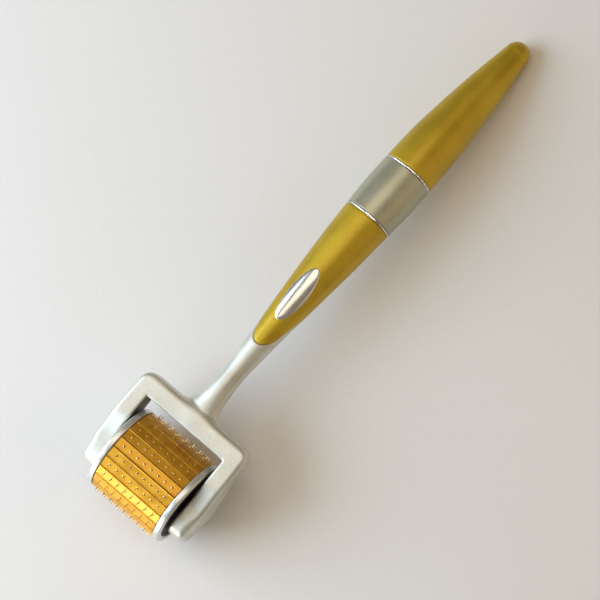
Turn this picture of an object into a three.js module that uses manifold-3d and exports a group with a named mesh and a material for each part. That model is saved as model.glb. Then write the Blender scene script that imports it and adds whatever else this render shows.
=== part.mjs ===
// A needle roller for skin care: a drum of pointed strips turns in a forked head on an arched handle.
// Millimetres, +X from the drum to the tail, +Y along the drum's axle, +Z up.
// The roller lies on a surface at z = 0, on its lowest needles and on the underside of its tail.

import * as THREE from "three";
import { mergeVertices } from "three/addons/utils/BufferGeometryUtils.js";
import Module from "manifold-3d";

const wasm = await Module();
wasm.setup();

// ---- Driving dimensions ----

const CLEARANCE = 0.3; // between two pieces that are glued or clipped together
const NECK_STEP = 0.2; // from the fork's top face down to the top of the neck's root
const FAR = 200; // half the size of a block that only cuts

const drum = {
  strips: 24,
  radius: 10.75, // to the long edges of a strip
  stripBack: 8.4,
  halfLength: 9.3,
  seam: 0.12, // between neighbouring strips
  coreRadius: 8.0,
  coreHalfLength: 9.0,
};
const needle = { count: 8, pitch: 2.1, length: 1.25, root: 0.19, sides: 4, sunk: 0.2 };
const cap = { radius: 10.95, inner: 9.6, outer: 11.0, rim: 0.45, recess: 0.5, recessRadius: 8.6 };
const axle = { radius: 1.25, halfLength: 13.9, chamfer: 0.3 };
const bushing = { bore: 1.33, outer: 2.3, inner: 11.9, end: 14.1 };
const washer = { bore: 1.4, outer: 2.8, inner: 11.05, end: 11.45 };

const yoke = {
  top: 7.3, // above the axle
  bridgeBottom: 0.7,
  armBottom: -4.6,
  front: -8.1,
  rear: 18.9,
  windowRear: 13.3,
  windowHalfWidth: 11.6,
  halfWidth: 16.0,
  rearEdge: 1.9,
  cornerRadius: 3.2,
  toeRadius: 1.6,
};
// An arm's side edge as [x, z] stations: flat by the bridge, down to the low round end, and back below.
const armEdge = [
  [9.2, yoke.top],
  [7.2, yoke.top],
  [5.8, 7.12],
  [4.3, 6.65],
  [1.0, 5.75],
  [-2.8, 5.45],
  [-4.8, 5.1],
  [-6.5, 4.15],
  [-7.7, 2.5],
  [yoke.front, 0.4],
  [-7.8, -1.8],
  [-6.7, -3.5],
  [-4.8, -4.4],
  [-2.1, yoke.armBottom],
  [1.0, -4.4],
  [4.4, -3.2],
  [8.0, -1.0],
  [10.6, 0.4],
  [yoke.windowRear, yoke.bridgeBottom],
];
// The blind hole for a bushing: its room round the bushing, beyond the end, and where its cut starts.
const socket = { clearance: 0.1, depth: 0.2, lead: 1.0 };

const handle = {
  tail: 132.0,
  spineTop: 4.4, // the spine's height above the axle where it leaves the bridge
  spineDrop: 14.09, // how far the spine falls from the bridge to the tail
  flattening: 0.95, // a section's height over its width
};

// Each handle piece's outline, as stations along X with the half width there.
const rootOutline = [[16.0, 4.9], [18.9, 4.3], [20.9, 3.4], [24.5, 2.92], [29.0, 2.75]];
const tongueOutline = [[36.7, 3.08], [46.0, 3.8], [54.0, 4.55]];
const neckOutline = [...rootOutline, ...tongueOutline];
const gripOutline = [...tongueOutline, [66.0, 5.55], [76.3, 6.15]];
const sleeveOutline = [[77.7, 6.25], [84.0, 6.55], [90.2, 6.55]];
const tailOutline = [[91.6, 6.5], [99.0, 6.35], [108.4, 5.6], [119.8, 4.35], [128.6, 3.1]];
const noseShares = [0.35, 0.6, 0.8, 0.94, 0.99]; // sections of the tail's rounded nose

const ring = { thickness: 0.8, proud: 0.06 };
const frontRing = { start: 76.6, halfWidth: 6.18 };
const rearRing = { start: 90.5, halfWidth: 6.52 };
// The neck parts from the grip along a slant below the grip's tongue, which ends square underneath.
const joint = { tongueTip: 38.9, run: 2.1, end: 50.5, halfHeight: 3.05 };
const tang = { radius: 1.5, start: 40.0, end: 62.0 };
const core = { radius: 2.4, start: 64.0, end: 106.0 };
const inlay = { start: 45.7, end: 60.5, halfWidth: 2.45, thickness: 0.8 };

const stripStep = (2 * Math.PI) / drum.strips;

// How finely round shapes are cut into flats.
const sides = { fork: 6, cap: 36, small: 24, rod: 16, neck: 20, handle: 24 };
const steps = { neck: 16, grip: 12, sleeve: 6, tail: 10, arm: 40, rodLength: 8 };

// ---- Materials ----

const finish = (color, roughness, metalness) =>
  new THREE.MeshStandardMaterial({ color, roughness, metalness });
const silverPaint = finish(0xd6d6cf, 0.38, 0.55);
const goldPaint = finish(0xb08d28, 0.36, 0.6);
const drumGold = finish(0xc8962e, 0.4, 0.3);
const brightChrome = finish(0xf2f2f0, 0.12, 1.0);
const steel = finish(0xb9bcc0, 0.25, 1.0);
const nylon = finish(0x5a5a58, 0.5, 0.0);
const blackCore = finish(0x2e2e30, 0.6, 0.0);

// ---- Solids ----

function toManifold(geometry) {
  const bare = new THREE.BufferGeometry();
  const flat = geometry.index ? geometry.toNonIndexed() : geometry;
  bare.setAttribute("position", flat.getAttribute("position"));
  const merged = mergeVertices(bare, 1e-4);
  return new wasm.Manifold(
    new wasm.Mesh({
      numProp: 3,
      vertProperties: new Float32Array(merged.attributes.position.array),
      triVerts: new Uint32Array(merged.index.array),
    }),
  );
}

function toGeometry(solid) {
  const mesh = solid.getMesh();
  const geometry = new THREE.BufferGeometry();
  geometry.setAttribute("position", new THREE.BufferAttribute(mesh.vertProperties, 3));
  geometry.setIndex(new THREE.BufferAttribute(mesh.triVerts, 1));
  geometry.computeVertexNormals();
  return geometry;
}

const union = (first, ...rest) => rest.reduce((sum, solid) => sum.add(solid), first);

const extruded = (shape, depth) =>
  new THREE.ExtrudeGeometry(shape, { depth, bevelEnabled: false, curveSegments: sides.fork });

// A bar whose cross-section is a shape in the X-Z plane, running from one y to another.
function barAlongY(shape, fromY, toY) {
  const geometry = extruded(shape, toY - fromY);
  geometry.rotateX(Math.PI / 2); // shape (x, y) to (x, z), depth to -y
  geometry.translate(0, toY, 0);
  return toManifold(geometry);
}

// An upright bar whose cross-section is a shape in the X-Y plane.
function barAlongZ(shape, fromZ, toZ) {
  const geometry = extruded(shape, toZ - fromZ);
  geometry.translate(0, 0, fromZ);
  return toManifold(geometry);
}

function box(low, high) {
  const size = high.map((value, i) => value - low[i]);
  const geometry = new THREE.BoxGeometry(...size);
  geometry.translate(...high.map((value, i) => (value + low[i]) / 2));
  return toManifold(geometry);
}

// A body of revolution about Y. The profile lists [radius, y] from one end of the axis to the other.
function turned(profile, flats) {
  const points = profile.map(([radius, y]) => new THREE.Vector2(radius, y));
  return new THREE.LatheGeometry(points, flats);
}

// A hollow ring about Y, from one y to another.
function collar(bore, outer, fromY, toY, flats) {
  return turned([[bore, fromY], [outer, fromY], [outer, toY], [bore, toY], [bore, fromY]], flats);
}

// ---- Handle spine and lofts ----

const spineLength = handle.tail - yoke.rear;
const spineZ = (x) => handle.spineTop - handle.spineDrop * ((x - yoke.rear) / spineLength) ** 2;
const spineSlope = (x) => (-2 * handle.spineDrop * (x - yoke.rear)) / spineLength ** 2;

// A smooth run of [x, half width] sections through an outline's stations.
function stations(outline, count) {
  const curve = new THREE.SplineCurve(outline.map(([x, halfWidth]) => new THREE.Vector2(x, halfWidth)));
  return curve.getPoints(count).map((point) => [point.x, point.y]);
}

// A closed solid of oval sections square to the spine, with each section grown by an offset.
function loft(sections, flats, offset = 0, flattening = handle.flattening) {
  const vertices = [];
  const triangles = [];
  for (const [x, halfWidth] of sections) {
    const tilt = Math.atan(spineSlope(x));
    for (let i = 0; i < flats; i++) {
      const angle = (i / flats) * 2 * Math.PI;
      const across = (halfWidth + offset) * Math.cos(angle);
      const up = (halfWidth * flattening + offset) * Math.sin(angle);
      vertices.push(x - up * Math.sin(tilt), across, spineZ(x) + up * Math.cos(tilt));
    }
  }
  const last = sections.length - 1;
  for (let s = 0; s < last; s++) {
    for (let i = 0; i < flats; i++) {
      const a = s * flats + i;
      const b = s * flats + ((i + 1) % flats);
      triangles.push(a, b, b + flats, a, b + flats, a + flats);
    }
  }
  const ends = [[0, sections[0]], [last * flats, sections[last]]];
  ends.forEach(([start, [x]], end) => {
    const hub = vertices.length / 3;
    vertices.push(x, 0, spineZ(x));
    for (let i = 0; i < flats; i++) {
      const a = start + i;
      const b = start + ((i + 1) % flats);
      triangles.push(...(end === 0 ? [hub, b, a] : [hub, a, b]));
    }
  });
  const geometry = new THREE.BufferGeometry();
  geometry.setAttribute("position", new THREE.Float32BufferAttribute(vertices, 3));
  geometry.setIndex(triangles);
  return toManifold(geometry);
}

// A round rod that follows the spine.
function rod(radius, fromX, toX) {
  const count = Math.max(1, Math.round((toX - fromX) / steps.rodLength));
  const sections = [];
  for (let i = 0; i <= count; i++) sections.push([fromX + ((toX - fromX) * i) / count, radius]);
  return loft(sections, sides.rod, 0, 1);
}

// ---- Drum ----

function needleStrip() {
  const halfAngle = stripStep / 2;
  const flat = drum.radius * Math.cos(halfAngle);
  const half = (radius) => radius * Math.tan(halfAngle) - drum.seam / 2;
  const section = new THREE.Shape([
    new THREE.Vector2(-half(drum.stripBack), drum.stripBack),
    new THREE.Vector2(half(drum.stripBack), drum.stripBack),
    new THREE.Vector2(half(flat), flat),
    new THREE.Vector2(-half(flat), flat),
  ]);
  let strip = barAlongY(section, -drum.halfLength, drum.halfLength);
  for (let i = 0; i < needle.count; i++) {
    const tall = needle.length + needle.sunk;
    const cone = new THREE.ConeGeometry(needle.root, tall, needle.sides);
    cone.rotateX(Math.PI / 2);
    cone.translate(0, (i - (needle.count - 1) / 2) * needle.pitch, flat - needle.sunk + tall / 2);
    strip = strip.add(toManifold(cone));
  }
  return toGeometry(strip);
}

function endCap(side) {
  const { radius, inner, outer, rim, recess, recessRadius } = cap;
  const profile = [
    [axle.radius + CLEARANCE, inner],
    [radius - rim / 3, inner],
    [radius, inner + rim / 2],
    [radius, outer - rim],
    [radius - rim, outer],
    [recessRadius, outer],
    [recessRadius - recess, outer - recess],
    [washer.outer + CLEARANCE, outer - recess],
    [washer.outer, outer - recess / 2],
    [axle.radius + CLEARANCE, outer - recess / 2],
    [axle.radius + CLEARANCE, inner],
  ];
  const geometry = turned(profile, sides.cap);
  if (side < 0) geometry.rotateX(Math.PI);
  return geometry;
}

function drumCore() {
  const bore = axle.radius + CLEARANCE / 3;
  return collar(bore, drum.coreRadius, -drum.coreHalfLength, drum.coreHalfLength, drum.strips);
}

function axleShaft() {
  const { radius, halfLength, chamfer } = axle;
  const profile = [
    [0, -halfLength],
    [radius - chamfer, -halfLength],
    [radius, chamfer - halfLength],
    [radius, halfLength - chamfer],
    [radius - chamfer, halfLength],
    [0, halfLength],
  ];
  return turned(profile, sides.small);
}

// ---- Forked head and neck ----

function yokeSideOutline() {
  const { top, bridgeBottom, rear, rearEdge } = yoke;
  const shape = new THREE.Shape();
  shape.moveTo(rear - rearEdge, top);
  const edge = new THREE.SplineCurve(armEdge.map(([x, z]) => new THREE.Vector2(x, z)));
  for (const point of edge.getPoints(steps.arm)) shape.lineTo(point.x, point.y);
  shape.lineTo(rear - rearEdge, bridgeBottom);
  shape.absarc(rear - rearEdge, bridgeBottom + rearEdge, rearEdge, 1.5 * Math.PI, 2 * Math.PI, false);
  shape.absarc(rear - rearEdge, top - rearEdge, rearEdge, 0, Math.PI / 2, false);
  return shape;
}

function yokePlanOutline() {
  const { front, rear, halfWidth, cornerRadius, toeRadius } = yoke;
  const shape = new THREE.Shape();
  const corner = (x, y, radius, turns) =>
    shape.absarc(x, y, radius, turns * Math.PI, (turns + 0.5) * Math.PI, false);
  corner(rear - cornerRadius, cornerRadius - halfWidth, cornerRadius, 1.5);
  corner(rear - cornerRadius, halfWidth - cornerRadius, cornerRadius, 0);
  corner(front + toeRadius, halfWidth - toeRadius, toeRadius, 0.5);
  corner(front + toeRadius, toeRadius - halfWidth, toeRadius, 1);
  return shape;
}

// All that lies on the neck's side of its parting face with the grip, less a gap.
function neckSide(gap) {
  const fall = Math.atan(1 / joint.run);
  const topZ = spineZ(joint.tongueTip) + joint.halfHeight;
  const geometry = new THREE.BoxGeometry(2 * FAR, 2 * FAR, FAR);
  geometry.translate(0, 0, -FAR / 2 - gap);
  geometry.rotateY(fall);
  geometry.translate(joint.tongueTip, 0, topZ);
  return toManifold(geometry).intersect(box([-FAR, -FAR, -FAR], [joint.end - gap, FAR, FAR]));
}

// The blind hole in the left arm that holds a bushing.
function bushingSocket() {
  const radius = bushing.outer + socket.clearance;
  const from = bushing.inner - socket.lead;
  const to = bushing.end + socket.depth;
  return turned([[0, from], [radius, from], [radius, to], [0, to]], sides.small);
}

function headYoke() {
  const fork = barAlongY(yokeSideOutline(), -yoke.halfWidth, yoke.halfWidth)
    .intersect(barAlongZ(yokePlanOutline(), yoke.armBottom, yoke.top))
    .subtract(box([-FAR, -yoke.windowHalfWidth, -FAR], [yoke.windowRear, yoke.windowHalfWidth, FAR]));
  const underTop = box([-FAR, -FAR, -FAR], [FAR, FAR, yoke.top - NECK_STEP]);
  const neck = loft(stations(neckOutline, steps.neck), sides.neck)
    .intersect(neckSide(CLEARANCE))
    .intersect(underTop);
  let head = union(fork, neck, rod(tang.radius, tang.start, tang.end));
  for (const side of [-1, 1]) {
    const hole = bushingSocket();
    if (side < 0) hole.rotateX(Math.PI);
    head = head.subtract(toManifold(hole));
  }
  return toGeometry(head);
}

// ---- Handle pieces ----

const inlayPlan = (grow) => {
  const shape = new THREE.Shape();
  const middle = (inlay.start + inlay.end) / 2;
  shape.absellipse(middle, 0, inlay.end - middle + grow, inlay.halfWidth + grow, 0, 2 * Math.PI, false, 0);
  return barAlongZ(shape, spineZ(inlay.end), FAR);
};

function frontGrip() {
  const outer = stations(gripOutline, steps.grip);
  const pocket = loft(outer, sides.handle, 2 * CLEARANCE)
    .subtract(loft(outer, sides.handle, -inlay.thickness - CLEARANCE))
    .intersect(inlayPlan(CLEARANCE));
  const grip = loft(outer, sides.handle)
    .subtract(neckSide(0))
    .subtract(pocket)
    .subtract(rod(tang.radius + CLEARANCE, joint.tongueTip, tang.end + CLEARANCE))
    .subtract(rod(core.radius + CLEARANCE, core.start - CLEARANCE, sleeveOutline[0][0]));
  return toGeometry(grip);
}

function gripInlay() {
  const outer = stations(gripOutline, steps.grip);
  const skin = loft(outer, sides.handle).subtract(loft(outer, sides.handle, -inlay.thickness));
  return toGeometry(skin.intersect(inlayPlan(0)));
}

// A handle piece with the core's bore right through it.
function sleeveBetween(sections) {
  const first = sections[0][0];
  const last = sections[sections.length - 1][0];
  const bore = rod(core.radius + CLEARANCE, first - CLEARANCE, last + CLEARANCE);
  return toGeometry(loft(sections, sides.handle).subtract(bore));
}

function trimRing({ start, halfWidth }) {
  const wide = halfWidth + ring.proud;
  return sleeveBetween([[start, wide], [start + ring.thickness, wide]]);
}

function tailCap() {
  const body = stations(tailOutline, steps.tail);
  const [noseX, noseHalf] = body[body.length - 1];
  for (const share of noseShares) {
    body.push([noseX + (handle.tail - noseX) * share, noseHalf * Math.sqrt(1 - share * share)]);
  }
  const bore = rod(core.radius + CLEARANCE, body[0][0] - CLEARANCE, core.end + CLEARANCE);
  return toGeometry(loft(body, sides.handle).subtract(bore));
}

// ---- Assembly ----

const roller = new THREE.Group();
const head = new THREE.Group();
roller.add(head);

function place(parent, name, geometry, material) {
  const mesh = new THREE.Mesh(geometry, material);
  mesh.name = name;
  parent.add(mesh);
  return mesh;
}

place(head, "head_yoke", headYoke(), silverPaint);
for (const [name, side] of [["left", 1], ["right", -1]]) {
  const bush = collar(bushing.bore, bushing.outer, bushing.inner, bushing.end, sides.small);
  const disc = collar(washer.bore, washer.outer, washer.inner, washer.end, sides.small);
  if (side < 0) {
    bush.rotateX(Math.PI);
    disc.rotateX(Math.PI);
  }
  place(head, `${name}_bushing`, bush, nylon);
  place(head, `${name}_washer`, disc, nylon);
  place(head, `${name}_end_cap`, endCap(side), silverPaint);
}
place(head, "axle_shaft", axleShaft(), steel);
place(head, "drum_core", drumCore(), blackCore);

const stripGeometry = needleStrip();
for (let i = 0; i < drum.strips; i++) {
  const name = `needle_strip_${String(i + 1).padStart(2, "0")}`;
  place(head, name, stripGeometry, drumGold).rotation.y = (i + 0.5) * stripStep;
}

place(roller, "front_grip", frontGrip(), goldPaint);
place(roller, "grip_inlay", gripInlay(), silverPaint);
place(roller, "front_ring", trimRing(frontRing), brightChrome);
place(roller, "center_sleeve", sleeveBetween(stations(sleeveOutline, steps.sleeve)), silverPaint);
place(roller, "rear_ring", trimRing(rearRing), brightChrome);
place(roller, "tail_cap", tailCap(), goldPaint);
place(roller, "handle_core", toGeometry(rod(core.radius, core.start, core.end)), blackCore);

// The origin is in the middle of the roller's box, on the surface that it lies on.
const bounds = new THREE.Box3().setFromObject(roller, true);
roller.position.set(-(bounds.min.x + bounds.max.x) / 2, 0, -bounds.min.z);

export default roller;
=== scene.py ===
"""A needle roller for skin care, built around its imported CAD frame.

Shapes are worked out in millimetres from the middle of the drum's axle: +X runs to the handle's
tail, +Y along the axle and +Z up. build() turns them into metres in the row frame.
"""

import math

import bpy
import numpy as np
from mathutils import Matrix, Vector


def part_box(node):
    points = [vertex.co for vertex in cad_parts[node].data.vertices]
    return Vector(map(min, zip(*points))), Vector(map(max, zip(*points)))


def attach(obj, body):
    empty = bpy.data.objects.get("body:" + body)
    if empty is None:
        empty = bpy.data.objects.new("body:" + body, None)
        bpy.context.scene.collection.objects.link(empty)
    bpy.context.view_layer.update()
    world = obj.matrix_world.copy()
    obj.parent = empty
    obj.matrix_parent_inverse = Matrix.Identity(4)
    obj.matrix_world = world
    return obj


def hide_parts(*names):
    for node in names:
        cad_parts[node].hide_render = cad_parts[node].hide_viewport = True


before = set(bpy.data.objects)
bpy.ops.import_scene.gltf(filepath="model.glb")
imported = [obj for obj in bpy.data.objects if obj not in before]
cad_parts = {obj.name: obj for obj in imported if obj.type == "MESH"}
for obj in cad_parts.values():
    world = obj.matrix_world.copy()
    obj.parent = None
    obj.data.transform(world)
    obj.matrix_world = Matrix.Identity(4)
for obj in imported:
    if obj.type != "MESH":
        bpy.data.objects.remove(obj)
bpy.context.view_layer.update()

MM = 0.001

axle_low, axle_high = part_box("axle_shaft")
AXLE = (axle_low + axle_high) / 2
FLOOR = -AXLE.z / MM  # the surface that the roller lies on

# ---- Dimensions, in millimetres ----

# Drum
STRIPS = 24
STRIP_STEP = 2 * math.pi / STRIPS
STRIP_RADIUS = 10.75  # to a strip's long edges
STRIP_BACK = 8.4
STRIP_END = 9.3
SEAM = 0.14
NEEDLES = 8
NEEDLE_PITCH = 2.1
NEEDLE_LENGTH = 1.25
NEEDLE_SIDES = 10
CAP_RADIUS = 10.95
CAP_INNER = 9.42
CAP_OUTER = 11.0
CAP_BORE = 1.55
CAP_HUB = 9.3  # radius of the hub inside a cap's rim, near-black as painted shade for the dark gap between cap and arm
CAP_SIDES = 144

# Forked head
TOP = 7.3
BRIDGE_BOTTOM = 0.7
ARM_BOTTOM = -4.6
FRONT = -8.1
REAR = 18.9
HALF_WIDTH = 16.0
WINDOW_REAR = 13.3
WINDOW_HALF = 11.6
BRIDGE_EDGE = 0.95  # rounding of the bridge's edges
ARM_EDGE_GAIN = 0.9  # what is added to it along the arms, over ARM_EDGE_REACH
ARM_EDGE_REACH = 5
WINDOW_EDGE = 0.26
NECK_FILLET = 1.3

# Handle
SPINE_TOP = 4.4
SPINE_DROP = 14.09
TAIL = 132.0
FLATTENING = 0.95  # a section's height over its width
TONGUE_TIP = 38.8
TONGUE_GAP = 0.06  # between the neck's end and the grip
GRIP_END = 76.62
SLEEVE_START = 77.22
SLEEVE_END = 90.52
TAIL_START = 91.12
RING = 0.5  # length of a trim ring along the handle
EDGE_DEPTH = 1.6  # how far a piece's end faces reach in before they close
HANDLE_SIDES = 112


# ---- Materials ----


def link(tree, start, output, end, socket):
    tree.links.new(start.outputs[output], end.inputs[socket])


def noise(tree, size, detail):
    """A noise texture whose features are about size millimetres across, fixed to the piece."""
    place = tree.nodes.new("ShaderNodeTexCoord")
    texture = tree.nodes.new("ShaderNodeTexNoise")
    texture.inputs["Scale"].default_value = 1 / (size * MM)
    texture.inputs["Detail"].default_value = detail
    link(tree, place, "Object", texture, "Vector")
    return texture


def spread(tree, texture, low, high):
    """The texture's middle range stretched over low to high."""
    ramp = tree.nodes.new("ShaderNodeMapRange")
    ramp.inputs["From Min"].default_value = 0.3
    ramp.inputs["From Max"].default_value = 0.7
    ramp.inputs["To Min"].default_value = low
    ramp.inputs["To Max"].default_value = high
    link(tree, texture, "Fac", ramp, "Value")
    return ramp


FLAKE_SHARE, PATCH_SHARE = 0.55, 0.45  # of the flakes and the patches in the mix of tones
DARKEST, LIGHTEST = 0.36, 0.64  # where in that mix the two tones are reached


def finish(
    name, dark, light, metallic, roughness, flake=0.16, mottle=7.0, bump=0.01, coat=0.0
):
    """A finish that varies between two tones in broad patches and in fine flakes.

    roughness is a pair. flake, mottle and bump are in millimetres: two sizes and a height.
    """
    material = bpy.data.materials.new(name)
    material.use_nodes = True
    tree = material.node_tree
    shader = tree.nodes["Principled BSDF"]
    shader.inputs["Metallic"].default_value = metallic
    shader.inputs["Coat Weight"].default_value = coat
    shader.inputs["Coat Roughness"].default_value = 0.2
    fine = noise(tree, flake, 2.0)
    broad = noise(tree, mottle, 4.0)
    both = tree.nodes.new("ShaderNodeMath")
    both.operation = "MULTIPLY_ADD"
    both.inputs[1].default_value = FLAKE_SHARE
    link(tree, fine, "Fac", both, 0)
    half = tree.nodes.new("ShaderNodeMath")
    half.operation = "MULTIPLY"
    half.inputs[1].default_value = PATCH_SHARE
    link(tree, broad, "Fac", half, 0)
    link(tree, half, "Value", both, 2)
    tones = tree.nodes.new("ShaderNodeValToRGB")
    tones.color_ramp.elements[0].position = DARKEST
    tones.color_ramp.elements[0].color = (*dark, 1)
    tones.color_ramp.elements[1].position = LIGHTEST
    tones.color_ramp.elements[1].color = (*light, 1)
    link(tree, both, "Value", tones, "Fac")
    link(tree, tones, "Color", shader, "Base Color")
    rough = spread(tree, broad, *roughness)
    link(tree, rough, "Result", shader, "Roughness")
    relief = tree.nodes.new("ShaderNodeBump")
    relief.inputs["Strength"].default_value = 0.6
    relief.inputs["Distance"].default_value = bump * MM
    link(tree, fine, "Fac", relief, "Height")
    link(tree, relief, "Normal", shader, "Normal")
    return material


silver_paint = finish(
    "silver_paint", (0.55, 0.56, 0.51), (0.77, 0.77, 0.70), 0.75, (0.38, 0.48), coat=0.12
)
silver_cap = finish(
    "silver_cap", (0.62, 0.64, 0.64), (0.82, 0.83, 0.82), 0.75, (0.26, 0.36), coat=0.2
)
# Painted shade: the arms' inner walls are dark brown to stand in for the shade between the arms and
# the drum.
painted_inner_shade = finish("painted_inner_shade", (0.10, 0.085, 0.06), (0.17, 0.145, 0.11), 0.5, (0.4, 0.5))
silver_sleeve = finish(
    "silver_sleeve", (0.40, 0.40, 0.30), (0.50, 0.49, 0.37), 0.7, (0.34, 0.42), coat=0.15
)
silver_inlay = finish("silver_inlay", (0.66, 0.67, 0.66), (0.82, 0.82, 0.80), 0.9, (0.16, 0.24))
gold_paint = finish(
    "gold_paint", (0.47, 0.31, 0.014), (0.64, 0.45, 0.034), 0.72, (0.42, 0.50), coat=0.2
)
strip_gold = finish(
    "strip_gold",
    (0.54, 0.23, 0.008),
    (0.82, 0.46, 0.036),
    0.75,
    (0.36, 0.46),
    mottle=2.5,
    bump=0.02,
    coat=0.3,
)
needle_metal = finish("needle_metal", (0.60, 0.42, 0.16), (0.86, 0.68, 0.34), 1.0, (0.18, 0.28))
bright_trim = finish("bright_trim", (0.82, 0.82, 0.80), (0.93, 0.93, 0.91), 1.0, (0.08, 0.16))
steel = finish("steel_pin", (0.50, 0.51, 0.53), (0.66, 0.67, 0.69), 1.0, (0.2, 0.3))
nylon = finish("nylon", (0.10, 0.10, 0.10), (0.16, 0.16, 0.155), 0.0, (0.45, 0.6))
# Near-black of the plastic cores; on the caps' hubs the same black is painted shade for the dark
# gap between cap and arm.
black_core_and_hub_shade = finish(
    "black_core_and_hub_shade", (0.020, 0.018, 0.016), (0.04, 0.036, 0.032), 0.0, (0.5, 0.7)
)


# ---- Making pieces ----


def build(name, parts, materials, body, nodes):
    """A piece of closed shells.

    Each is (points in millimetres from the axle, faces, one material number or one for each face).
    """
    points, faces, numbers = [], [], []
    for part_points, part_faces, number in parts:
        start = len(points)
        for point in np.asarray(part_points).tolist():
            points.append(tuple(AXLE + Vector(point) * MM))
        faces.extend([start + corner for corner in face] for face in part_faces)
        numbers.extend(np.broadcast_to(number, len(part_faces)).tolist())
    mesh = bpy.data.meshes.new(name)
    mesh.from_pydata(points, [], faces)
    for material in materials:
        mesh.materials.append(material)
    mesh.polygons.foreach_set("material_index", numbers)
    mesh.shade_smooth()
    mesh.update()
    piece = bpy.data.objects.new(name, mesh)
    bpy.context.scene.collection.objects.link(piece)
    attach(piece, body)
    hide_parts(*nodes)
    return piece


def tube_faces(rings, sides, closed=False):
    """Quads between neighbouring rings of points, and between the last and the first if closed."""
    faces = []
    for r in range(rings if closed else rings - 1):
        here, there = r * sides, (r + 1) % rings * sides
        for i in range(sides):
            j = (i + 1) % sides
            faces.append((here + i, here + j, there + j, there + i))
    return faces


def capped(rings, first_hub, last_hub):
    """A closed outward shell through rings of points, with a fan to a hub at each end."""
    sides = len(rings[0])
    points = np.concatenate([*rings, [first_hub, last_hub]])
    faces = tube_faces(len(rings), sides)
    hub = len(rings) * sides
    last = hub - sides
    for i in range(sides):
        j = (i + 1) % sides
        faces.append((hub, j, i))
        faces.append((hub + 1, last + i, last + j))
    return facing_out(points, faces)


def facing_out(points, faces):
    """The shell with its faces' corners in the order that makes its volume positive."""
    volume = 0.0
    for face in faces:
        first = points[face[0]]
        for a, b in zip(face[1:-1], face[2:]):
            volume += np.dot(first, np.cross(points[a], points[b]))
    return points, faces if volume > 0 else [face[::-1] for face in faces]


def turned(profile, sides):
    """A closed profile of (radius, y) turned about Y, as (points, faces)."""
    angles = np.arange(sides) / sides * 2 * math.pi
    rings = [
        np.stack([radius * np.sin(angles), np.full(sides, y), radius * np.cos(angles)], 1)
        for radius, y in profile
    ]
    return facing_out(np.concatenate(rings), tube_faces(len(profile), sides, closed=True))


def arc(centre, radius, start, end, steps=6):
    """Points of a plane arc between two angles in degrees."""
    return [
        (centre[0] + radius * math.cos(a), centre[1] + radius * math.sin(a))
        for a in np.radians(np.linspace(start, end, steps + 1))
    ]


def smooth_line(stations, x):
    """A smooth curve through (x, value) stations, read at x."""
    xs, values = np.array(stations, float).T
    slopes = np.gradient(values, xs)
    x = np.clip(x, xs[0], xs[-1])
    i = np.clip(np.searchsorted(xs, x) - 1, 0, len(xs) - 2)
    step = xs[i + 1] - xs[i]
    t = (x - xs[i]) / step
    return (
        (2 * t**3 - 3 * t**2 + 1) * values[i]
        + (t**3 - 2 * t**2 + t) * step * slopes[i]
        + (3 * t**2 - 2 * t**3) * values[i + 1]
        + (t**3 - t**2) * step * slopes[i + 1]
    )


# ---- Fields: negative inside a shape, positive outside ----


def outline_field(outline, u, v):
    """Signed distance from points (u, v) to a closed plane outline."""
    nearest = np.full(u.shape, np.inf)
    inside = np.zeros(u.shape, bool)
    for (ua, va), (ub, vb) in zip(outline, outline[1:] + outline[:1]):
        du, dv = ub - ua, vb - va
        t = np.clip(((u - ua) * du + (v - va) * dv) / (du * du + dv * dv), 0, 1)
        nearest = np.minimum(nearest, (u - ua - t * du) ** 2 + (v - va - t * dv) ** 2)
        if dv:
            inside ^= ((va > v) != (vb > v)) & (u < (v - va) * du / dv + ua)
    return np.where(inside, -1, 1) * np.sqrt(nearest)


def both_of(a, b, radius):
    """What is inside both fields, with its outer edges rounded."""
    return np.minimum(np.maximum(a, b), -radius) + np.hypot(
        np.maximum(a + radius, 0), np.maximum(b + radius, 0)
    )


def either_of(a, b, radius):
    """What is inside either field, with the corner between them filled."""
    return np.maximum(np.minimum(a, b), radius) - np.hypot(
        np.maximum(radius - a, 0), np.maximum(radius - b, 0)
    )


def pull_on(field, points, reach, rounds):
    """The points moved along the field's slope until they lie where it is zero."""
    step = 0.02
    for _ in range(rounds):
        value = field(points)
        slope = np.stack(
            [(field(points + step * axis) - value) / step for axis in np.eye(3)], 1
        )
        move = -slope * (value / np.maximum((slope**2).sum(1), 0.05))[:, None]
        length = np.linalg.norm(move, axis=1, keepdims=True)
        points = points + move * np.minimum(1, reach / np.maximum(length, 1e-9))
    return points


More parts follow.
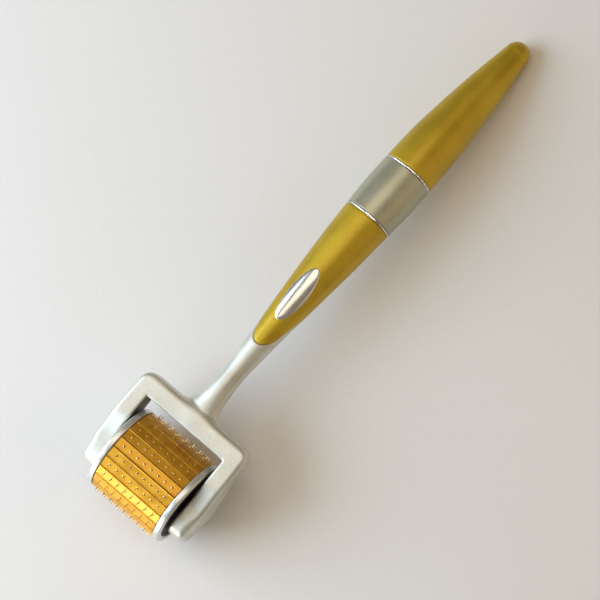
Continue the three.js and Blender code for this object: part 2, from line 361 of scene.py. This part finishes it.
def skin(field, low, high, pitch):
    """A closed skin of quads where the field is zero, as (points, faces)."""
    axes = [np.arange(a, b + pitch, pitch) for a, b in zip(low, high)]
    grid = np.stack(np.meshgrid(*axes, indexing="ij"), -1)
    inside = (field(grid.reshape(-1, 3)) < 0).reshape(grid.shape[:3])
    nx, ny, nz = (size - 1 for size in inside.shape)
    count = np.zeros((nx, ny, nz), int)
    for i, j, k in np.ndindex(2, 2, 2):
        count += inside[i : i + nx, j : j + ny, k : k + nz]
    crossed = (count > 0) & (count < 8)
    index = np.full(crossed.shape, -1)
    index[crossed] = np.arange(crossed.sum())
    points = grid[:-1, :-1, :-1][crossed] + pitch / 2
    quads = []
    for axis in range(3):
        order = (axis, (axis + 1) % 3, (axis + 2) % 3)
        solid = np.transpose(inside, order)
        cells = np.transpose(index, order)
        start, end = solid[:-1, 1:-1, 1:-1], solid[1:, 1:-1, 1:-1]
        quad = np.stack(
            [cells[:, :-1, :-1], cells[:, 1:, :-1], cells[:, 1:, 1:], cells[:, :-1, 1:]], -1
        )
        quads.append(quad[start & ~end])
        quads.append(quad[end & ~start][:, ::-1])
    quads = np.concatenate(quads)
    points = pull_on(field, points, pitch, rounds=3)
    for _ in range(3):
        total, number = np.zeros_like(points), np.zeros(len(points))
        for corner in range(4):
            here, there = quads[:, corner], quads[:, (corner + 1) % 4]
            np.add.at(total, here, points[there])
            np.add.at(number, here, 1)
        points = pull_on(field, (points + total / number[:, None]) / 2, pitch, rounds=2)
    return points, quads.tolist()


# ---- Handle sections ----

# Half widths along the handle, as (x, half width).
NECK_LINE = [
    (14.0, 5.2), (16.0, 4.9), (18.9, 4.4), (20.9, 3.6), (23.5, 3.08), (27.0, 2.8), (31.0, 2.76),
    (36.7, 3.08),
]
GRIP_LINE = [(36.7, 3.08), (46.0, 3.8), (54.0, 4.55), (66.0, 5.55), (76.3, 6.15)]
SLEEVE_LINE = [(77.7, 6.25), (84.0, 6.55), (90.2, 6.55)]
TAIL_LINE = [(91.6, 6.5), (99.0, 6.35), (108.4, 5.6), (119.8, 4.35), (128.6, 3.1)]
# The neck's height over its width: lower where it spreads into the bridge.
NECK_HEIGHT = [
    (14.0, 0.44), (16.0, 0.46), (18.9, 0.53), (20.9, 0.68), (23.5, 0.86), (27.0, FLATTENING),
    (31.0, FLATTENING),
]


def spine_z(x):
    return SPINE_TOP - SPINE_DROP * ((x - REAR) / (TAIL - REAR)) ** 2


def spine_tilt(x):
    return np.arctan(-2 * SPINE_DROP * (x - REAR) / (TAIL - REAR) ** 2)


def on_handle(x, half_width, angle, inset=0.0):
    """The point at an angle round the handle's section at x, where 90 degrees is on top."""
    x, half_width, angle, inset = np.broadcast_arrays(x, half_width, angle, inset)
    across = (half_width - inset) * np.cos(angle)
    up = (half_width * FLATTENING - inset) * np.sin(angle)
    tilt = spine_tilt(x)
    return np.stack([x - up * np.sin(tilt), across, spine_z(x) + up * np.cos(tilt)], -1)


def handle_shell(rows):
    """A closed shell of sections. Each row is a function: angles to (x, half width, inset)."""
    angles = np.arange(HANDLE_SIDES) / HANDLE_SIDES * 2 * math.pi
    rings = []
    for row in rows:
        x, half_width, inset = row(angles)
        rings.append(on_handle(x, half_width, angles, inset))
    return capped(rings, rings[0].mean(0), rings[-1].mean(0))


def sleeve_rows(line, start, end, steps, edge, closed=True):
    """Rows of a handle piece from start(angle) to end, with its edges rounded.

    If closed is False, the rows stop short of the end.
    """

    def row(share, shift, inset):
        def at(angles):
            first = start(angles)
            x = first + (end - first) * share + shift
            return x, smooth_line(line, x), inset

        return at

    turns = np.radians(np.linspace(0, 90, 6))
    rows = [row(0, 0, EDGE_DEPTH)]
    rows += [row(0, edge * (1 - math.sin(t)), edge * (1 - math.cos(t))) for t in turns[::-1]]
    rows += [row(i / steps, 0, 0) for i in range(1, steps)]
    if closed:
        rows += [row(1, -edge * (1 - math.sin(t)), edge * (1 - math.cos(t))) for t in turns]
        rows += [row(1, 0, EDGE_DEPTH)]
    return rows


def square_start(x):
    return lambda angles: np.full(angles.shape, x)


# How far back the grip's front edge lies, by the angle in degrees from the top of the section.
TONGUE_EDGE = [
    (0, 0), (15, 0.1), (30, 0.7), (44, 1.5), (54, 2.7), (61, 4.5), (70, 6.8), (84, 9.4),
    (100, 11.5), (180, 11.7),
]


def tongue_start(angles):
    from_top = np.abs(np.degrees(angles) - 90)
    from_top = np.minimum(from_top, 360 - from_top)
    return TONGUE_TIP + smooth_line(TONGUE_EDGE, from_top)


# ---- Fork and neck: one moulding ----

# The arm's top edge, flat by the bridge and then falling forwards to its low rounded end.
ARM_TOP_STATIONS = [
    (9.2, TOP), (7.2, TOP), (5.8, 7.12), (4.3, 6.65), (2.7, 6.1), (1.0, 5.75), (-0.8, 5.6),
    (-2.8, 5.45), (-4.8, 5.1), (-6.5, 4.15), (-7.7, 2.5), (FRONT, 0.4), (-7.8, -1.8),
    (-6.7, -3.5), (-4.8, -4.4), (-2.1, ARM_BOTTOM),
]


def between(a, b, c, d, t):
    """The value at a share t of the way from b to c, on a smooth curve through all four."""
    return 0.5 * (
        2 * b
        + (c - a) * t
        + (2 * a - 5 * b + 4 * c - d) * t**2
        + (3 * b - a - 3 * c + d) * t**3
    )


def smooth_path(stations, steps):
    """Points of a smooth curve through plane stations."""
    points = []
    ends = [stations[0], *stations, stations[-1]]
    for four in zip(ends, ends[1:], ends[2:], ends[3:]):
        for i in range(steps):
            points.append(tuple(between(*values, i / steps) for values in zip(*four)))
    return [*points, stations[-1]]


LOW_CORNER, HIGH_CORNER = 1.9, 2.2  # the bridge's rear corners, seen from the side
SHOULDER_Y, SHOULDER = 12.4, 3.4  # the bridge's rear corners, seen from above
TOE_MIDDLE, TOE = (-6.0, 13.7), 2.1  # an arm's outer front corner, seen from above
MOUTH_MIDDLE, MOUTH = (-7.3, WINDOW_HALF + 0.45), 0.7  # an arm's inner front corner
BEYOND = -12.0  # the window is open at the front, so its outline runs on past the arms
# The outlines seen from above are read at |y|, so they run on past the middle to this y.
ACROSS = -5.0

side_outline = [
    (REAR - LOW_CORNER, BRIDGE_BOTTOM),
    *arc((REAR - LOW_CORNER, BRIDGE_BOTTOM + LOW_CORNER), LOW_CORNER, -80, 0),
    *arc((REAR - HIGH_CORNER, TOP - HIGH_CORNER), HIGH_CORNER, 0, 90, 8),
    *smooth_path(ARM_TOP_STATIONS, 4),
    (0.5, ARM_BOTTOM + 0.1), (3.2, ARM_BOTTOM + 0.9), (6.0, ARM_BOTTOM + 2.3),
    (8.6, ARM_BOTTOM + 3.9), (10.9, ARM_BOTTOM + 4.9), (WINDOW_REAR, BRIDGE_BOTTOM),
]
plan_outline = [
    (REAR, ACROSS), (REAR, SHOULDER_Y),
    *arc((REAR - SHOULDER, SHOULDER_Y), SHOULDER, 10, 80),
    (12.4, 15.92), (8.0, HALF_WIDTH), (4.0, HALF_WIDTH), (1.0, HALF_WIDTH), (-1.5, 15.9),
    (-3.5, 15.72),
    *arc(TOE_MIDDLE, TOE, 75, 180),
    (FRONT, ACROSS),
]
window_outline = [
    (WINDOW_REAR, ACROSS), (WINDOW_REAR, WINDOW_HALF), (4.0, WINDOW_HALF),
    (-2.0, WINDOW_HALF - 0.15),
    *arc(MOUTH_MIDDLE, MOUTH, 270, 195),
    (BEYOND, WINDOW_HALF + 0.3), (BEYOND, ACROSS),
]


NECK_START, NECK_START_EDGE = 14.5, 0.5  # its end inside the bridge
NECK_END_EDGE = 0.28  # rounding where it meets the grip


def neck_field(points):
    """The neck, from inside the bridge to the grip's tongue."""
    x, y, z = points.T
    tilt = spine_tilt(x)
    up = (z - spine_z(x)) / np.cos(tilt)
    along = x + up * np.sin(tilt)
    line = NECK_LINE + GRIP_LINE[1:3]
    half_width = smooth_line(line, along)
    half_height = smooth_line(NECK_HEIGHT, along) * half_width
    shape = (np.hypot(y / half_width, up / half_height) - 1) * half_height
    shape = both_of(shape, NECK_START - x, NECK_START_EDGE)
    angle = np.arctan2(up / FLATTENING, y)
    return both_of(shape, along - tongue_start(angle) + TONGUE_GAP, NECK_END_EDGE)


def head_field(points):
    """The whole moulding: the fork with its window and the neck."""
    x, y, z = points.T
    edge = BRIDGE_EDGE + ARM_EDGE_GAIN * np.clip(-x / ARM_EDGE_REACH, 0, 1)
    fork = both_of(outline_field(side_outline, x, z), outline_field(plan_outline, x, abs(y)), edge)
    fork = both_of(fork, -outline_field(window_outline, x, abs(y)), WINDOW_EDGE)
    return either_of(fork, neck_field(points), NECK_FILLET)


def inner_walls(points, faces):
    """For each face, 1 where it is on an arm's inner wall, which gets the painted shade, and 0
    elsewhere.
    """
    corners = points[np.array(faces)]
    middle = corners.mean(1)
    normal = np.cross(corners[:, 2] - corners[:, 0], corners[:, 3] - corners[:, 1])
    normal /= np.linalg.norm(normal, axis=1, keepdims=True) + 1e-12
    faces_in = normal[:, 1] * np.sign(middle[:, 1]) < -0.8
    near_wall = abs(middle[:, 1]) < WINDOW_HALF + 0.4
    return (faces_in & near_wall & (middle[:, 0] < WINDOW_REAR)).astype(int)


# The box that the moulding is searched for in, and how finely.
HEAD_LOW = (FRONT - 1, -17, ARM_BOTTOM - 1)
HEAD_HIGH = (52, 17, TOP + 1.4)
head_pitch = 0.36

head_skin = skin(head_field, HEAD_LOW, HEAD_HIGH, head_pitch)
# The arms' inner walls take the painted shade.
build(
    "head_and_neck",
    [(*head_skin, inner_walls(*head_skin))],
    [silver_paint, painted_inner_shade],
    "handle",
    ["head_yoke"],
)

# ---- Drum ----

flat = STRIP_RADIUS * math.cos(STRIP_STEP / 2)
half_flat = flat * math.tan(STRIP_STEP / 2) - SEAM / 2
half_back = STRIP_BACK * math.tan(STRIP_STEP / 2) - SEAM / 2
RIDGE = 0.07  # height of the raised line along a strip's long edges
END_CHAMFER, END_SHRINK = 0.1, 0.08  # a strip's ends: their length, and how far they draw in
# Half of a strip's section, as (distance from its middle, radius).
strip_side = [
    (half_back, STRIP_BACK), (half_flat - 0.02, flat - 0.2), (half_flat - 0.05, flat + RIDGE * 0.4),
    (half_flat - 0.11, flat + RIDGE), (half_flat - 0.20, flat + RIDGE), (half_flat - 0.30, flat),
]
# A needle and its collar, as (radius, height over the strip). Its point is at NEEDLE_LENGTH.
NEEDLE_FOOT = -0.15
NEEDLE_PROFILE = [
    (0.30, NEEDLE_FOOT), (0.30, 0.05), (0.22, 0.10), (0.14, 0.12), (0.115, 0.75), (0.075, 1.0),
]


def strip_shell():
    """A strip's bar with ridged long edges and chamfered ends, lying under +Z."""
    section = strip_side + [(-u, r) for u, r in strip_side[::-1]]
    middle = (flat + STRIP_BACK) / 2
    rings = []
    for y, shrink in (
        (-STRIP_END, END_SHRINK),
        (-STRIP_END + END_CHAMFER, 0),
        (STRIP_END - END_CHAMFER, 0),
        (STRIP_END, END_SHRINK),
    ):
        ring = []
        for u, r in section:
            gap = Vector((u, r - middle))
            gap *= 1 - shrink / gap.length
            ring.append((gap.x, y, middle + gap.y))
        rings.append(ring)
    sides = len(section)
    faces = tube_faces(len(rings), sides)
    faces += [tuple(range(sides - 1, -1, -1)), tuple(range(3 * sides, 4 * sides))]
    return facing_out(np.concatenate(rings), faces)


def needle_shell(y):
    """A needle standing on a low collar, pointing up +Z."""
    angles = np.arange(NEEDLE_SIDES) / NEEDLE_SIDES * 2 * math.pi
    rings = []
    for radius, height in NEEDLE_PROFILE:
        x, z = radius * np.cos(angles), np.full(NEEDLE_SIDES, flat + height)
        rings.append(np.stack([x, y + radius * np.sin(angles), z], 1))
    return capped(rings, (0, y, flat + NEEDLE_FOOT), (0, y, flat + NEEDLE_LENGTH))


def spun(points, angle):
    """Points turned about Y by an angle that takes +Z towards +X."""
    x, y, z = np.asarray(points, float).T
    c, s = math.cos(angle), math.sin(angle)
    return np.stack([x * c + z * s, y, z * c - x * s], 1)


bar = strip_shell()
needles = [needle_shell((i - (NEEDLES - 1) / 2) * NEEDLE_PITCH) for i in range(NEEDLES)]
for number in range(STRIPS):
    angle = (number + 0.5) * STRIP_STEP
    shells = [(spun(bar[0], angle), bar[1], 0)]
    shells += [(spun(points, angle), faces, 1) for points, faces in needles]
    label = f"{number + 1:02d}"
    strip = build(
        f"strip_{label}",
        shells,
        [strip_gold, needle_metal],
        "drum",
        [f"needle_strip_{label}"],
    )
    strip.data.set_sharp_from_angle(angle=math.radians(28))

INNER_EDGE, OUTER_EDGE = 0.25, 0.5  # rounding of a cap's rim
# A cap's section, as (radius, y): bore, rounded rim, groove, bead, sunk hub and raised middle.
cap_profile = [
    (CAP_BORE, CAP_INNER),
    *arc((CAP_RADIUS - INNER_EDGE, CAP_INNER + INNER_EDGE), INNER_EDGE, -90, 0, 4),
    *arc((CAP_RADIUS - OUTER_EDGE, CAP_OUTER - OUTER_EDGE), OUTER_EDGE, 0, 90, 7),
    (9.7, CAP_OUTER), (9.55, CAP_OUTER - 0.16), (9.35, CAP_OUTER - 0.18), (9.2, CAP_OUTER - 0.04),
    (8.75, CAP_OUTER - 0.04), (8.55, CAP_OUTER - 0.14), (8.1, CAP_OUTER - 0.5),
    (3.1, CAP_OUTER - 0.5), (2.8, CAP_OUTER - 0.25), (CAP_BORE, CAP_OUTER - 0.25),
]


def painted_shade_hub_faces(points, faces):
    """For each face of a cap, 1 where it belongs to the hub inside the rim, painted near-black as
    painted shade, and 0 elsewhere.
    """
    middle = np.array([points[list(face)].mean(0) for face in faces])
    return (np.hypot(middle[:, 0], middle[:, 2]) < CAP_HUB).astype(int)


for side_name, side in (("left", 1), ("right", -1)):
    points, faces = turned(cap_profile, CAP_SIDES)
    if side < 0:
        points = points * (1, -1, 1)
        faces = [face[::-1] for face in faces]
    # The caps' hubs take the near-black as painted shade.
    cap = build(
        f"{side_name}_cap",
        [(points, faces, painted_shade_hub_faces(points, faces))],
        [silver_cap, black_core_and_hub_shade],
        "drum",
        [f"{side_name}_end_cap"],
    )
    cap.data.set_sharp_from_angle(angle=math.radians(35))

# ---- Handle pieces ----


def handle_piece(name, line, start, end, steps, edge, material, node):
    """A piece of the handle from start(angle) to end, with steps sections between rounded edges."""
    shell = handle_shell(sleeve_rows(line, start, end, steps, edge))
    return build(name, [(*shell, 0)], [material], "handle", [node])


handle_piece(
    "grip", GRIP_LINE, tongue_start, GRIP_END, 60, 0.26, gold_paint, "front_grip"
)
handle_piece(
    "sleeve",
    SLEEVE_LINE,
    square_start(SLEEVE_START),
    SLEEVE_END,
    24,
    0.12,
    silver_sleeve,
    "center_sleeve",
)
for name, x, half_width, node in (
    ("lower_trim", 76.67, 6.22, "front_ring"),
    ("upper_trim", 90.57, 6.57, "rear_ring"),
):
    line = [(x, half_width), (x + RING, half_width)]
    handle_piece(name, line, square_start(x), x + RING, 3, 0.2, bright_trim, node)

NOSE_START, NOSE_HALF = TAIL_LINE[-1]


def tail_row(share):
    """The row of the tail's rounded nose at a share of the nose's length."""
    x = NOSE_START + (TAIL - NOSE_START) * share
    half_width = NOSE_HALF * math.sqrt(1 - share * share)
    return lambda angles: (np.full(angles.shape, x), np.full(angles.shape, half_width), 0.0)


tail_rows = sleeve_rows(TAIL_LINE, square_start(TAIL_START), NOSE_START, 50, 0.22, closed=False)
tail_rows += [tail_row(math.sin(t)) for t in np.radians(np.linspace(0, 89.5, 22))]
build("tail", [(*handle_shell(tail_rows), 0)], [gold_paint], "handle", ["tail_cap"])

# The oval inlay on top of the grip: a shallow dome whose rim turns down into the grip.
INLAY_MIDDLE, INLAY_HALF_LENGTH, INLAY_HALF_WIDTH = 53.0, 7.45, 2.5
INLAY_SIDES = 120
# From the middle to the rim and back underneath, as (share of the oval, rise over the grip).
INLAY_PROFILE = [
    (0.2, 0.15), (0.5, 0.145), (0.75, 0.13), (0.86, 0.115), (0.93, 0.085), (0.965, 0.04),
    (0.985, -0.03), (0.99, -0.5), (0.4, -0.55),
]


def inlay_shell():
    angles = np.arange(INLAY_SIDES) / INLAY_SIDES * 2 * math.pi
    rings = []
    for radius, rise in INLAY_PROFILE:
        x = INLAY_MIDDLE + INLAY_HALF_LENGTH * radius * np.cos(angles)
        half_width = smooth_line(GRIP_LINE, x)
        side = np.arccos(INLAY_HALF_WIDTH * radius * np.sin(angles) / half_width)
        rings.append(on_handle(x, half_width, side, -rise))
    return capped(rings, rings[0].mean(0), rings[-1].mean(0))


build("oval_inlay", [(*inlay_shell(), 0)], [silver_inlay], "handle", ["grip_inlay"])

# ---- CAD pieces that stay as they are ----

kept = {
    "axle_shaft": steel,
    "drum_core": black_core_and_hub_shade,
    "left_bushing": nylon,
    "right_bushing": nylon,
    "left_washer": nylon,
    "right_washer": nylon,
    "handle_core": black_core_and_hub_shade,
}
for node, material in kept.items():
    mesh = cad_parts[node].data
    mesh.materials.clear()
    mesh.materials.append(material)

# ---- Camera ----


def from_axle(x, y, z):
    return AXLE + Vector((x, y, z)) * MM


camera_data = bpy.data.cameras.new("camera")
camera_data.lens = 192
camera_data.sensor_width = 36
camera_data.clip_end = 10  # metres, and the floor ends within it
camera = bpy.data.objects.new("camera", camera_data)
bpy.context.scene.collection.objects.link(camera)
eye = from_axle(52.5, -146.8, 722.9)
target = from_axle(52.65, 2.5, FLOOR)
upward = Vector((0.7657, 0.6303, 0.1283))
back = (eye - target).normalized()
right = upward.cross(back).normalized()
turn = Matrix((right, back.cross(right), back)).transposed()
camera.matrix_world = Matrix.Translation(eye) @ turn.to_4x4()
bpy.context.scene.camera = camera

# ---- Floor and light ----

# Directions along the floor, towards the photo's left and towards its lower edge.
PICTURE_LEFT = Vector((-0.65, 0.76, 0))
PICTURE_DOWN = Vector((-0.77, -0.64, 0))
FLOOR_HALF = 1.5
FLOOR_DROP = 0.00002  # just under the lowest point, so that nothing lies in the floor's plane

floor_mesh = bpy.data.meshes.new("floor")
floor_corners = ((-1, -1), (1, -1), (1, 1), (-1, 1))
floor_mesh.from_pydata(
    [(FLOOR_HALF * u, FLOOR_HALF * v, -FLOOR_DROP) for u, v in floor_corners],
    [],
    [(0, 1, 2, 3)],
)
floor = bpy.data.objects.new("floor", floor_mesh)
bpy.context.scene.collection.objects.link(floor)
floor_finish = finish(
    "floor", (0.79, 0.775, 0.765), (0.82, 0.805, 0.795), 0.0, (0.5, 0.62), flake=0.9, mottle=60.0
)
floor_mesh.materials.append(floor_finish)


def soft_light(name, offset, height, size, power, color):
    """A square light panel aimed at the origin, with lengths in metres and power in watts."""
    data = bpy.data.lights.new(name, "AREA")
    data.shape = "SQUARE"
    data.size = size
    data.energy = power
    data.color = color
    light = bpy.data.objects.new(name, data)
    bpy.context.scene.collection.objects.link(light)
    light.location = offset + Vector((0, 0, height))
    light.rotation_mode = "QUATERNION"
    light.rotation_quaternion = (-light.location).to_track_quat("-Z", "Y")


DAYLIGHT = (0.72, 0.86, 1.0)
WARM_WHITE = (1.0, 0.88, 0.70)
ROOM_TONE = (1.0, 0.78, 0.52)

soft_light(
    "window",
    PICTURE_LEFT * 0.40 - PICTURE_DOWN * 0.02,
    height=0.27,
    size=0.45,
    power=2.75,
    color=DAYLIGHT,
)
soft_light(
    "wall", Vector((-0.48, 0.02, 0)), height=0.07, size=0.20, power=0.9, color=(1.0, 0.98, 0.90)
)
soft_light(
    "ceiling", Vector((0.16, 0.12, 0)), height=0.9, size=0.6, power=1.8, color=WARM_WHITE
)
soft_light(
    "room",
    PICTURE_LEFT * -0.38 + PICTURE_DOWN * 0.1,
    height=0.20,
    size=0.4,
    power=0.26,
    color=ROOM_TONE,
)

world = bpy.data.worlds.new("world")
bpy.context.scene.world = world
world.use_nodes = True
background = world.node_tree.nodes["Background"]
background.inputs["Color"].default_value = (*ROOM_TONE, 1)
background.inputs["Strength"].default_value = 0.20
bpy.context.scene.view_settings.view_transform = "Standard"
